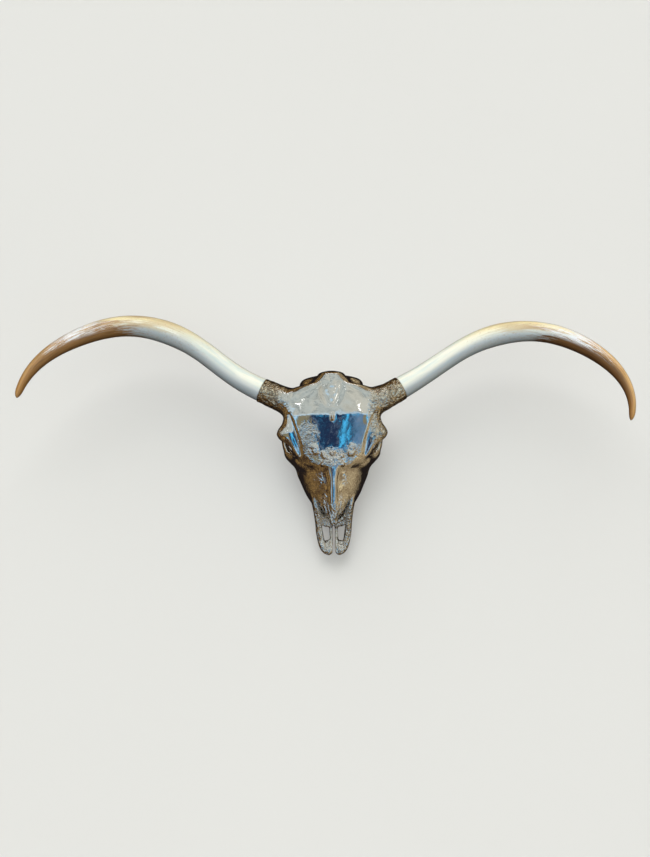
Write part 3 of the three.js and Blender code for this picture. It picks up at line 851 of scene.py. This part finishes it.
# materials
def linear(r, g, b):
    values = []
    for v in (r / 255, g / 255, b / 255):
        values.append(v / 12.92 if v <= 0.04045 else ((v + 0.055) / 1.055) ** 2.4)
    return (*values, 1.0)


def newMaterial(name):
    mat = bpy.data.materials.new(name)
    mat.use_nodes = True
    return mat, NodeHelper(mat.node_tree), mat.node_tree.nodes["Principled BSDF"]


chromeLook = {
    "rough": 0.045, "worn": 0.10, "bright": (0.89, 0.91, 0.93, 1), "dim": (0.80, 0.79, 0.77, 1),
    # heights of the relief, in metres
    "ripple": 0.0011, "pit": 0.0004, "crinkle": 0.0048, "streaks": 0.008, "grit": 0.0007,
    "burrAt": 0.128,    # where the horn cores start
    "fleck": (0.98, 0.92, 0.76, 1),
    "dullLeft": (0.36, 0.28, 0.18, 1), "dullRight": (0.62, 0.55, 0.43, 1),
    # rough patches: across and along from the muzzle tip, then their half sizes and strength
    "patches": ((0.0, 0.224, 0.033, 0.020, 0.7), (-0.058, 0.276, 0.024, 0.034, 0.45),
                (0.118, 0.330, 0.026, 0.080, 0.9), (-0.122, 0.360, 0.018, 0.045, 0.4),
                (0.050, 0.243, 0.018, 0.016, 0.45), (-0.050, 0.243, 0.018, 0.016, 0.45),
                (0.030, 0.050, 0.022, 0.085, 0.5), (-0.030, 0.050, 0.022, 0.085, 0.5)),
}


def chromeMaterial():
    mat, s, skin = newMaterial("platedBone")
    place = s.add("ShaderNodeTexCoord").outputs["Object"]
    axis = s.add("ShaderNodeSeparateXYZ")
    s.wire(place, axis.inputs[0])
    across = s.minus(axis.outputs[0], midX)
    along = s.minus(axis.outputs[1], frontY)
    aside = s.maths("ABSOLUTE", across)
    core = s.band(aside, chromeLook["burrAt"] - 0.012, chromeLook["burrAt"] + 0.014)
    rugged = core
    for middle, at, wide, tall, amount in chromeLook["patches"]:
        u = s.maths("DIVIDE", s.minus(across, middle), wide)
        v = s.maths("DIVIDE", s.minus(along, at), tall)
        reach = s.plus(s.times(u, u), s.times(v, v))
        rugged = s.maths("MAXIMUM", rugged, s.times(s.band(reach, 1.9, 0.2), amount))
    # the cheeks are a little uneven too
    cheek = s.times(s.band(along, 0.235, 0.205), s.band(aside, 0.018, 0.034))
    rugged = s.maths("MAXIMUM", rugged, s.times(cheek, 0.22))
    slow = s.noise(place, 34, 2.0)
    fine = s.noise(place, 190, 4.0, 0.6)
    grit = s.noise(place, 620, 5.0, 0.7)
    crinkle = s.minus(s.noise(place, 100, 1.5, 0.5, 1.6), 0.5)
    # fine lengthwise streaks on the muzzle
    drawn = s.minus(s.noise(s.stretch(place, (1.0, 0.22, 1.0)), 150, 2.0), 0.5)
    drawn = s.times(drawn, s.band(along, 0.125, 0.095))
    worn = s.band(s.noise(place, 16, 5.0, 0.62), 0.5, 0.72)
    tone = s.mix(worn, chromeLook["bright"], chromeLook["dim"])
    # the cores are flecked gold and brown, the right orbit more lightly
    dull = s.mix(s.band(across, 0.0, 0.08), chromeLook["dullLeft"], chromeLook["dullRight"])
    fleck = s.mix(s.band(s.noise(place, 150, 4.0, 0.7), 0.45, 0.56), chromeLook["fleck"], dull)
    orbit = s.times(s.band(across, 0.085, 0.105), s.band(along, 0.24, 0.28))
    flecked = s.maths("MAXIMUM", s.times(core, 0.85), s.times(orbit, 0.55))
    tone = s.mix(flecked, tone, fleck)
    s.wire(tone, skin.inputs["Base Color"])
    skin.inputs["Metallic"].default_value = 1.0
    rough = s.plus(s.times(worn, 0.07), chromeLook["rough"])
    rough = s.plus(rough, s.times(core, chromeLook["worn"]))
    s.wire(rough, skin.inputs["Roughness"])
    under = s.bump(slow, 0.35, chromeLook["ripple"])
    middle = s.bump(fine, 0.22, chromeLook["pit"], under)
    broken = s.bump(s.times(crinkle, rugged), 1.0, chromeLook["crinkle"], middle)
    broken = s.bump(drawn, 1.0, chromeLook["streaks"], broken)
    gritty = s.times(grit, s.plus(core, s.times(worn, 0.12)))
    s.wire(s.bump(gritty, 0.6, chromeLook["grit"], broken), skin.inputs["Normal"])
    return mat


hornColours = {
    "white": linear(238, 239, 226), "cool": linear(206, 220, 218), "blue": linear(178, 194, 208),
    "cream": linear(238, 224, 176), "khaki": linear(206, 190, 154), "tan": linear(172, 142, 108),
    "dark": linear(74, 50, 32),
    "silver": linear(236, 242, 248), "gold": linear(158, 112, 50), "bright": linear(226, 190, 140),
}
hornZones = {
    # shares of the length: start of the brown, then start and end of the silver streaks; bright is how
    # much painted light the keratin's outer side gets, and inner is the brown of the side away from the
    # light, partly painted shade
    "left": {"brown": 0.585, "silver": (0.635, 0.76), "bright": 0.0, "seed": 2.0,
             "amber": linear(176, 140, 92), "inner": linear(152, 114, 70)},
    "right": {"brown": 0.60, "silver": (0.58, 0.72), "bright": 0.85, "seed": 9.0,
              "amber": linear(190, 150, 96), "inner": linear(122, 88, 54)},
}
# where each tone comes in along the horn
hornShares = {"cream": (0.16, 0.42), "arch": (0.26, 0.44), "speck": (0.14, 0.34),
              "blotch": (0.42, 0.54), "tip": (0.86, 1.0)}
hornFinish = {"Roughness": 0.3, "Coat Weight": 0.6, "Coat Roughness": 0.06,
              "Subsurface Weight": 0.06, "Subsurface Scale": 0.01}


def hornMaterial(word):
    c, share, zone = hornColours, hornShares, hornZones[word]
    mat, s, skin = newMaterial("polishedHorn" + word.title())
    along = s.add("ShaderNodeAttribute", attribute_name="along").outputs["Fac"]
    around = s.add("ShaderNodeAttribute", attribute_name="around").outputs["Fac"]
    wrap = s.cylinder(around, s.plus(s.times(along, 3.2), zone["seed"]))
    fibre = s.noise(wrap, 5.2, 6.0, 0.62, 0.15)
    thread = s.noise(s.stretch(wrap, (3.4, 3.4, 0.6)), 6.0, 4.0, 0.62)
    cloud = s.noise(wrap, 1.7, 4.0, 0.55)
    freckle = s.noise(s.stretch(wrap, (1.0, 1.0, 4.0)), 9.0, 4.0, 0.7)
    # which way the surface faces: towards the arch's outer edge, which is also the side the light comes
    # from, or its inner one
    facing = s.add("ShaderNodeSeparateXYZ")
    s.wire(s.add("ShaderNodeTexCoord").outputs["Normal"], facing.inputs[0])
    sideways = s.times(s.times(facing.outputs[0], sides[word]), s.band(along, 0.45, 1.0, (0.0, 1.1)))
    outer = s.plus(s.times(facing.outputs[1], 0.86), sideways)
    jag = s.plus(s.times(s.minus(thread, 0.5), 0.42), s.times(s.minus(fibre, 0.5), 0.22))
    # white root, bluish below as a painted reflection and painted shade on the side away from the
    # light, creamy along the outer edge
    base = s.mix(s.band(cloud, 0.36, 0.66), c["white"], c["cool"])
    base = s.mix(s.times(s.band(outer, 0.1, -0.45), 0.75), base, c["blue"])
    creamy = s.times(s.band(along, *share["cream"]), s.band(outer, -0.1, 0.6))
    base = s.mix(creamy, base, c["cream"])
    # mottled khaki and tan over the arch
    arch = s.band(s.plus(along, s.times(jag, 0.6)), *share["arch"])
    arch = s.times(arch, s.band(outer, -0.55, 0.1))
    base = s.mix(s.times(arch, s.band(s.plus(cloud, jag), 0.40, 0.58)), base, c["khaki"])
    speck = s.times(s.band(freckle, 0.55, 0.68), s.band(along, *share["speck"]))
    base = s.mix(s.times(speck, 0.45), base, c["tan"])
    blotch = s.times(s.band(s.plus(cloud, jag), 0.5, 0.62), s.band(along, *share["blotch"]))
    base = s.mix(s.times(blotch, 0.85), base, c["tan"])
    # brown keratin starts sooner on the inner edge
    at = s.plus(along, jag)
    edgeShift = s.times(s.minus(0.25, outer), 0.09)
    brownAt = s.band(s.plus(at, edgeShift), zone["brown"] - 0.02, zone["brown"] + 0.02)
    # the keratin's own amber and brown, with painted shade darkening the inner side away from the light
    # and, on the right horn, painted light brightening the outer side
    keratin = s.mix(s.band(outer, -0.45, 0.5), zone["inner"], zone["amber"])
    keratin = s.mix(s.times(s.band(outer, 0.25, 0.75), zone["bright"]), keratin, c["bright"])
    keratin = s.mix(s.times(s.band(fibre, 0.46, 0.70), 0.55), keratin, c["dark"])
    keratin = s.mix(s.times(s.band(along, *share["tip"]), 0.45), keratin, c["gold"])
    base = s.mix(brownAt, base, keratin)
    # silvery splinters lie over the start of the brown
    middle = s.times(s.band(outer, -0.55, -0.15), s.band(outer, 0.98, 0.75))
    jagged = s.plus(along, s.times(s.minus(thread, 0.5), 0.6))
    near, far = zone["silver"]
    patch = s.times(s.band(jagged, near - 0.02, near + 0.02), s.band(jagged, far + 0.015, far - 0.015))
    patch = s.times(patch, middle)
    splinter = s.plus(fibre, s.times(thread, 0.6))
    patch = s.times(patch, s.band(splinter, 0.68, 0.77))
    base = s.mix(s.times(patch, 0.9), base, c["silver"])
    s.wire(base, skin.inputs["Base Color"])
    for name, value in hornFinish.items():
        skin.inputs[name].default_value = value
    lines = s.bump(thread, 0.16, 0.0008)
    s.wire(s.bump(fibre, 0.12, 0.0006, lines), skin.inputs["Normal"])
    return mat


toothLook = {"bright": (0.78, 0.78, 0.77, 1), "dim": (0.58, 0.54, 0.46, 1), "rough": 0.12, "worn": 0.2,
             "lines": 0.0008}


def toothMaterial():
    mat, s, skin = newMaterial("platedTeeth")
    place = s.add("ShaderNodeTexCoord").outputs["Object"]
    lines = s.noise(s.stretch(place, (260, 260, 30)), 1.0, 4.0, 0.6)
    worn = s.band(s.noise(place, 60, 4.0), 0.45, 0.7)
    s.wire(s.mix(worn, toothLook["bright"], toothLook["dim"]), skin.inputs["Base Color"])
    skin.inputs["Metallic"].default_value = 1.0
    s.wire(s.plus(s.times(worn, toothLook["worn"]), toothLook["rough"]), skin.inputs["Roughness"])
    s.wire(s.bump(lines, 0.5, toothLook["lines"]), skin.inputs["Normal"])
    return mat


# cheek teeth: lengths, half widths and lower ends of three premolars and three molars
teeth = {"premolars": 3, "lengths": (16, 18, 20, 24, 28, 30),
         "halves": (8.2, 10.2, 11.2, 12.7, 13.2, 12.7),
         "floors": (5.2, 3.2, 1.7, 0.1, 0.1, 0.1), "top": 44.0}


def lobeMesh(count=40):
    # one tooth column, 1 long, 1 wide and 1 tall, with ribs on its outer side
    points, faces = [], []
    levels = [(0.0, 0.80), (0.02, 0.88), (0.08, 0.94), (0.3, 1.0), (0.6, 1.02), (1.0, 1.0)]
    for z, grow in levels:
        for k in range(count):
            a = 2 * math.pi * k / count
            c, h = math.cos(a), math.sin(a)
            rib = 1 + 0.07 * math.cos(3 * a) * (1 if c > 0 else 0.4)
            out = abs(c) ** 0.75 * (1 if c > 0 else -1)
            points.append((0.5 * grow * rib * out, 0.5 * grow * h * 1.1, z))
    for j in range(len(levels) - 1):
        for k in range(count):
            a, b = j * count + k, j * count + (k + 1) % count
            faces.append((a, b, b + count, a + count))
    # worn face with a sunken middle
    inner = len(points)
    for k in range(count):
        a = 2 * math.pi * k / count
        points.append((0.3 * math.cos(a), 0.3 * math.sin(a), 0.0))
    for k in range(count):
        faces.append((k, inner + k, inner + (k + 1) % count, (k + 1) % count))
    points.append((0, 0, 0.05))
    for k in range(count):
        faces.append((inner + k, len(points) - 1, inner + (k + 1) % count))
    points.append((0, 0, 1.0))
    top = (len(levels) - 1) * count
    for k in range(count):
        faces.append((top + k, top + (k + 1) % count, len(points) - 1))
    return makeMesh("toothColumn", points, faces)


def toothTree():
    # row points in, one column on each, scaled by the point's own size
    tree, s, enter = newTree("toothRow", [("Column", "Object"), ("Material", "Material")])
    column = s.add("GeometryNodeObjectInfo")
    s.wire(enter["Column"], column.inputs["Object"])
    column.inputs["As Instance"].default_value = True
    size = s.add("GeometryNodeInputNamedAttribute", data_type="FLOAT_VECTOR")
    size.inputs["Name"].default_value = "columnSize"
    spread = s.add("GeometryNodeInstanceOnPoints")
    s.wire(enter["Geometry"], spread.inputs["Points"])
    s.wire(column.outputs["Geometry"], spread.inputs["Instance"])
    s.wire(size.outputs["Attribute"], spread.inputs["Scale"])
    closeTree(s, enter, spread.outputs["Instances"])
    return tree


def makeTeeth(word, side, tree, column, material):
    spots, sizes = [], []
    at = skull["rowStart"]
    for k, length in enumerate(teeth["lengths"]):
        parts = 1 if k < teeth["premolars"] else 2
        for j in range(parts):
            middle = at + length * (j + 0.5) / parts
            floor = teeth["floors"][k]
            spots.append((side * rowX(middle), middle, floor))
            size = (side * 2 * teeth["halves"][k], length / parts, teeth["top"] - floor)
            sizes.append(np.array(size) / 1000)
        at += length
    mesh = makeMesh("rowPoints", toFrame(spots).tolist(), [])
    kept = mesh.attributes.new("columnSize", "FLOAT_VECTOR", "POINT")
    kept.data.foreach_set("vector", [v for s in sizes for v in s])
    row = link(bpy.data.objects.new("row" + word, mesh))
    made = bakeNodes(row, "cheekTeeth_" + word, tree, {"Column": column, "Material": material})
    if side < 0:
        made.data.flip_normals()
    made.data.shade_smooth()
    return made


# pieces
plated = chromeMaterial()
for node, piece in skullPieces.items():
    piece.data.materials.append(plated)
    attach(piece, "root")
    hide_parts(node)

tree = hornTree()
for word in sides:
    piece = makeHorn(word, tree, hornMaterial(word))
    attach(piece, "root")
    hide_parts("horn_" + word)
    print("horn", word, len(piece.data.polygons))

columnMesh = link(bpy.data.objects.new("toothColumn", lobeMesh()))
rowTree = toothTree()
plateTeeth = toothMaterial()
for word, side in sides.items():
    piece = makeTeeth(word, side, rowTree, columnMesh, plateTeeth)
    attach(piece, "root")
bpy.data.objects.remove(columnMesh)
print("teeth made")


# surroundings
floorPlan = {"half": 9.0, "drop": 0.0004, "tones": (linear(222, 222, 221), linear(220, 220, 219)),
             "rough": 0.85, "shine": 0.1}


def floorMaterial():
    mat, s, skin = newMaterial("paleFloor")
    place = s.add("ShaderNodeTexCoord").outputs["Object"]
    s.wire(s.mix(s.noise(place, 1.3, 2.0), *floorPlan["tones"]), skin.inputs["Base Color"])
    skin.inputs["Roughness"].default_value = floorPlan["rough"]
    skin.inputs["Specular IOR Level"].default_value = floorPlan["shine"]
    return mat


def makeFloor():
    r, z = floorPlan["half"], -floorPlan["drop"]
    mesh = makeMesh("floor", [(-r, -r, z), (r, -r, z), (r, r, z), (-r, r, z)], [(0, 1, 2, 3)])
    mesh.materials.append(floorMaterial())
    floor = link(bpy.data.objects.new("floor", mesh))
    floor.visible_glossy = False    # mirrors show the room instead
    floor.visible_diffuse = False   # keeps the undersides dark


room = {
    "ceiling": linear(190, 196, 190), "warm": linear(208, 205, 190), "shade": linear(120, 128, 126),
    "navy": linear(32, 46, 74), "slate": linear(124, 142, 162), "steel": linear(92, 130, 164),
    "cyan": linear(84, 196, 250), "sky": linear(196, 226, 244),
    "khaki": linear(136, 128, 102), "khakiMiddle": 0.12,
    "walnut": linear(66, 50, 36), "gold": linear(200, 158, 92), "oak": linear(134, 112, 82),
    "straw": linear(246, 226, 178), "dusk": linear(34, 28, 26),
    "lamp": (4.5, 4.4, 4.2, 1.0), "backdrop": linear(236, 236, 231), "strength": 0.95,
    "drift": 0.12,      # how far the edges wander
    # soft edges: the last of the ceiling, the dark wall's top, ends and lower strip
    "skyLine": (-0.235, -0.27), "wallTop": (-0.285, -0.31), "wallEnds": (1.3, 1.1),
    "strip": (-0.58, -0.64),
    "steelFrom": (0.17, 0.24), "khakiFrom": (0.31, 0.36), "gleamFrom": (0.56, 0.62),
    # and those of the timber, its light side, the dusk below and the thin lamp's two sides
    "timberFrom": (0.70, 0.60), "litFrom": (0.1, 0.6), "duskFrom": (0.05, -0.5),
    "lampSides": ((0.745, 0.755), (0.785, 0.775)),
    # bright panes in the dark wall: left, right, near and far edge
    "panes": ((0.075, 0.155, -0.29, -0.83), (0.22, 0.29, -0.30, -0.39),
              (-0.065, -0.045, -0.30, -0.44), (-0.12, -0.10, -0.42, -0.49)),
    # small lamps in the ceiling: two slopes and a size
    "spots": ((-0.42, -0.10, 0.02), (0.36, -0.16, 0.02), (-0.10, 0.02, 0.012)),
}


def makeRoom():
    # pale ceiling behind the camera, a dark blue wall beyond the muzzle with bright panes,
    # and brown walls at the sides
    world = bpy.data.worlds.new("room")
    bpy.context.scene.world = world
    world.use_nodes = True
    s = NodeHelper(world.node_tree)
    out = world.node_tree.nodes["Background"]
    direction = s.add("ShaderNodeTexCoord").outputs["Generated"]
    part = s.add("ShaderNodeSeparateXYZ")
    s.wire(direction, part.inputs[0])
    x, y, z = part.outputs
    px = s.maths("DIVIDE", x, s.maths("MAXIMUM", z, 0.02))     # slope of the direction
    drift = s.times(s.minus(s.noise(direction, 6.0, 3.0), 0.5), room["drift"])
    wx = s.plus(px, drift)
    wy = s.plus(y, s.times(drift, 0.5))
    tone = s.mix(s.band(s.noise(direction, 2.6, 3.0), 0.4, 0.62), room["ceiling"], room["warm"])

    def paint(amount, colour):
        # lays a colour over what is there
        nonlocal tone
        tone = s.mix(amount, tone, colour)

    beams = s.noise(s.stretch(direction, (3.0, 9.0, 3.0)), 2.0, 3.0, 0.6)
    paint(s.times(s.band(beams, 0.52, 0.60), 0.7), room["shade"])
    for spotX, spotY, size in room["spots"]:
        dx = s.minus(px, spotX)
        dy = s.minus(y, spotY)
        reach = s.maths("SQRT", s.plus(s.times(dx, dx), s.times(dy, dy)))
        paint(s.band(reach, size, size * 0.7), room["lamp"])
    paint(s.times(s.band(wy, *room["skyLine"]), 0.8), room["sky"])
    aside = s.maths("ABSOLUTE", wx)
    dark = s.times(s.band(wy, *room["wallTop"]), s.band(aside, *room["wallEnds"]))
    upright = s.noise(s.stretch(direction, (16.0, 2.5, 1.5)), 1.0, 4.0, 0.62)
    wall = s.mix(s.band(wx, *room["steelFrom"]), room["navy"], room["steel"])
    wall = s.mix(s.band(upright, 0.52, 0.60), wall, room["slate"])
    paint(dark, wall)
    for left, right, near, away in room["panes"]:
        wide = s.times(s.band(wx, left - 0.015, left + 0.015), s.band(wx, right + 0.015, right - 0.015))
        tall = s.times(s.band(wy, near, near - 0.03), s.band(wy, away, away + 0.1))
        paint(s.times(wide, tall), room["cyan"])
    # low on the dark wall lies a bright broken strip
    broken = s.band(s.noise(s.stretch(direction, (9.0, 9.0, 3.0)), 1.0, 3.0, 0.6), 0.44, 0.54)
    low = s.times(s.band(wy, *room["strip"]), dark)
    paint(s.times(low, broken), room["sky"])
    # the wall turns khaki at its sides and bright towards the corners
    side = s.maths("ABSOLUTE", s.minus(wx, room["khakiMiddle"]))
    paint(s.times(s.band(side, *room["khakiFrom"]), dark), room["khaki"])
    shimmer = s.band(s.noise(s.stretch(direction, (14.0, 2.0, 2.0)), 1.0, 3.0, 0.6), 0.42, 0.58)
    gleam = s.mix(shimmer, room["cyan"], room["sky"])
    paint(s.times(s.band(aside, *room["gleamFrom"]), dark), gleam)
    # walls: timber with gilded patches, lighter on the right, darker towards the ground
    streak = s.noise(s.stretch(direction, (1.0, 1.0, 2.0)), 8.0, 4.0, 0.6)
    lit = s.band(x, *room["litFrom"])
    timber = s.mix(lit, room["walnut"], room["oak"])
    gilding = s.mix(lit, room["gold"], room["straw"])
    wall = s.mix(s.band(streak, 0.53, 0.60), timber, gilding)
    wall = s.mix(s.band(z, *room["duskFrom"]), wall, room["dusk"])
    edge = s.plus(z, s.times(drift, 0.8))
    paint(s.band(edge, *room["timberFrom"]), wall)
    # a thin lamp along the back draws a fine line on the horns
    near, far = (s.band(y, *edge) for edge in room["lampSides"])
    lamp = s.times(s.times(near, far), s.band(z, 0.3, 0.4))
    paint(s.times(lamp, s.band(s.noise(direction, 9.0, 2.0), 0.42, 0.5)), room["lamp"])
    # a low view sees a plain pale backdrop past the floor
    paint(s.add("ShaderNodeLightPath").outputs["Is Camera Ray"], room["backdrop"])
    s.wire(tone, out.inputs["Color"])
    out.inputs["Strength"].default_value = room["strength"]


lights = {
    # wide far lights, so the floor stays even
    "windowLight": {"towards": (-0.12, 0.9, 0.66), "angle": 55, "power": 2.02,
                    "colour": (1.0, 0.99, 0.965)},
    "skyLight": {"towards": (0.0, 0.1, 1.0), "angle": 60, "power": 1.2,
                 "colour": (0.97, 0.99, 1.0)},
}


def makeLights():
    for name, light in lights.items():
        data = bpy.data.lights.new(name, "SUN")
        data.energy = light["power"]
        data.angle = math.radians(light["angle"])
        data.color = light["colour"]
        data.use_shadow = name != "skyLight"    # one soft shadow is enough
        lamp = link(bpy.data.objects.new(name, data))
        lamp.rotation_euler = Vector(light["towards"]).to_track_quat("Z", "Y").to_euler()
        lamp.visible_glossy = False


makeFloor()
makeRoom()
makeLights()
print("floor, room and lights made")
bpy.context.scene.view_settings.view_transform = "Standard"
